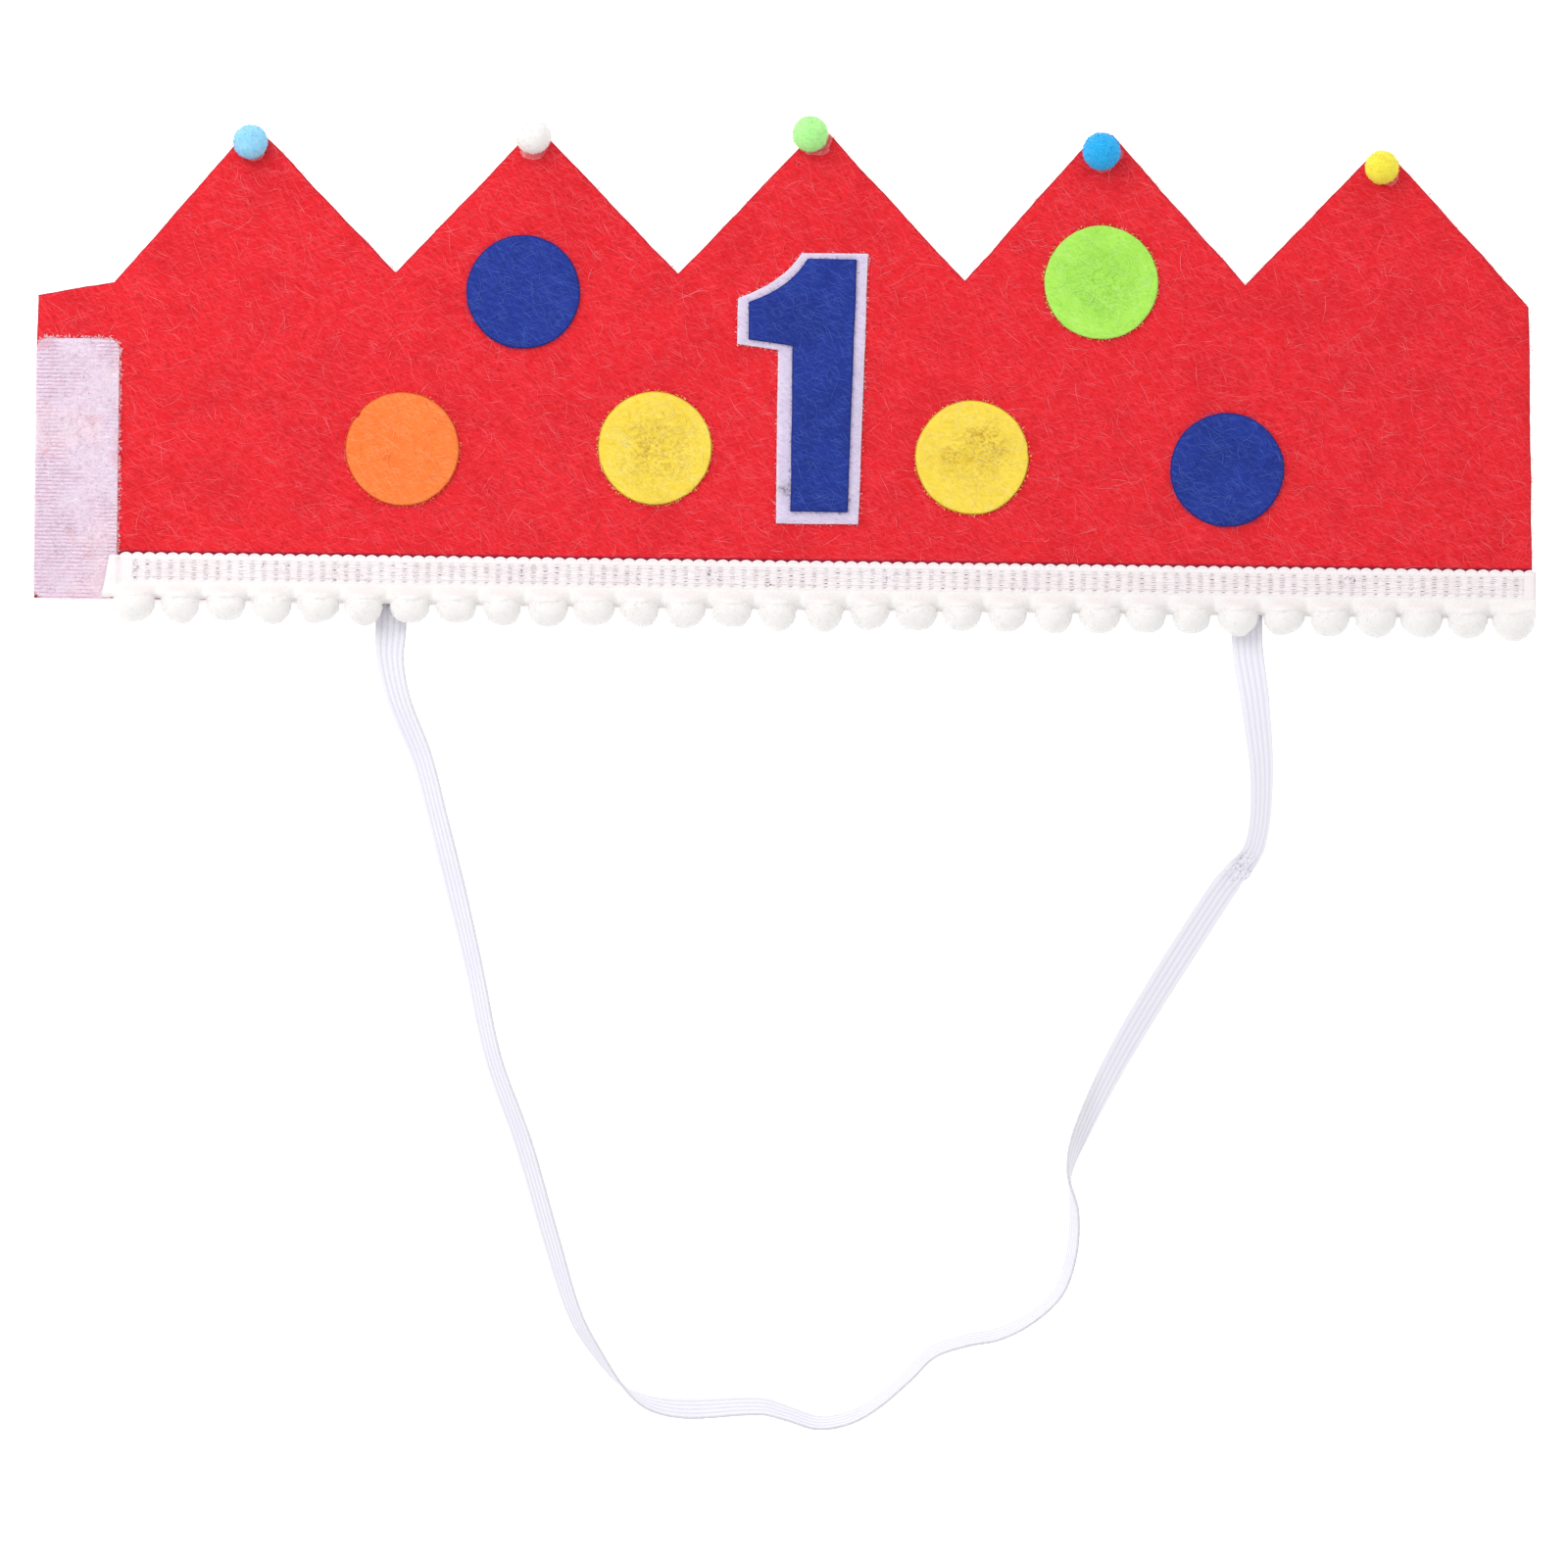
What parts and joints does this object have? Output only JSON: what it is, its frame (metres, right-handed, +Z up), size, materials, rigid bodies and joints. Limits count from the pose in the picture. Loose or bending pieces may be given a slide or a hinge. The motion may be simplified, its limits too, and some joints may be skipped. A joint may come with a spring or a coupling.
{
  "type": "party hat",
  "caption": "Flat felt birthday crown with points, dots, a numeral, a ball fringe, a hook-and-loop tab and an elastic chin strap, lying open on its back.",
  "frame": {"origin": "under the middle of the crown without its chin strap, on the surface that it lies on", "axes": "+X along the band from the loop tab to the end with the hooks, +Y towards the points, +Z up, out of the decorated front"},
  "size_m": [0.4292, 0.3747, 0.0131],
  "materials": {
    "felt_red": "matte",
    "felt_blue": "matte",
    "felt_orange": "matte",
    "felt_yellow": "matte",
    "felt_green": "matte",
    "felt_lilac": "matte",
    "loop_fabric": "matte",
    "hook_fabric": "satin",
    "trim_white": "matte",
    "pompom_light_blue": "matte",
    "pompom_white": "matte",
    "pompom_green": "matte",
    "pompom_azure": "matte",
    "pompom_yellow": "matte",
    "glue_clear": "glossy",
    "elastic_white": "matte"
  },
  "bodies": {
    "root": {"felt_band": "felt_red", "loop_patch": "loop_fabric", "hook_patch": "hook_fabric", "dot_blue_left": "felt_blue", "dot_orange": "felt_orange", "dot_yellow_left": "felt_yellow", "dot_yellow_right": "felt_yellow", "dot_green": "felt_green", "dot_blue_right": "felt_blue", "numeral_backing": "felt_lilac", "numeral_front": "felt_blue", "tip_glue_1": "glue_clear", "tip_glue_2": "glue_clear", "tip_glue_3": "glue_clear", "tip_glue_4": "glue_clear", "tip_glue_5": "glue_clear", "tip_pompom_1": "pompom_light_blue", "tip_pompom_2": "pompom_white", "tip_pompom_3": "pompom_green", "tip_pompom_4": "pompom_azure", "tip_pompom_5": "pompom_yellow", "trim_tape": "trim_white", "trim_pompom_01": "trim_white", "trim_pompom_02": "trim_white", "trim_pompom_03": "trim_white", "trim_pompom_04": "trim_white", "trim_pompom_05": "trim_white", "trim_pompom_06": "trim_white", "trim_pompom_07": "trim_white", "trim_pompom_08": "trim_white", "trim_pompom_09": "trim_white", "trim_pompom_10": "trim_white", "trim_pompom_11": "trim_white", "trim_pompom_12": "trim_white", "trim_pompom_13": "trim_white", "trim_pompom_14": "trim_white", "trim_pompom_15": "trim_white", "trim_pompom_16": "trim_white", "trim_pompom_17": "trim_white", "trim_pompom_18": "trim_white", "trim_pompom_19": "trim_white", "trim_pompom_20": "trim_white", "trim_pompom_21": "trim_white", "trim_pompom_22": "trim_white", "trim_pompom_23": "trim_white", "trim_pompom_24": "trim_white", "trim_pompom_25": "trim_white", "trim_pompom_26": "trim_white", "trim_pompom_27": "trim_white", "trim_pompom_28": "trim_white", "trim_pompom_29": "trim_white", "trim_pompom_30": "trim_white", "trim_pompom_31": "trim_white", "chin_strap": "elastic_white"}
  },
  "joints": []
}
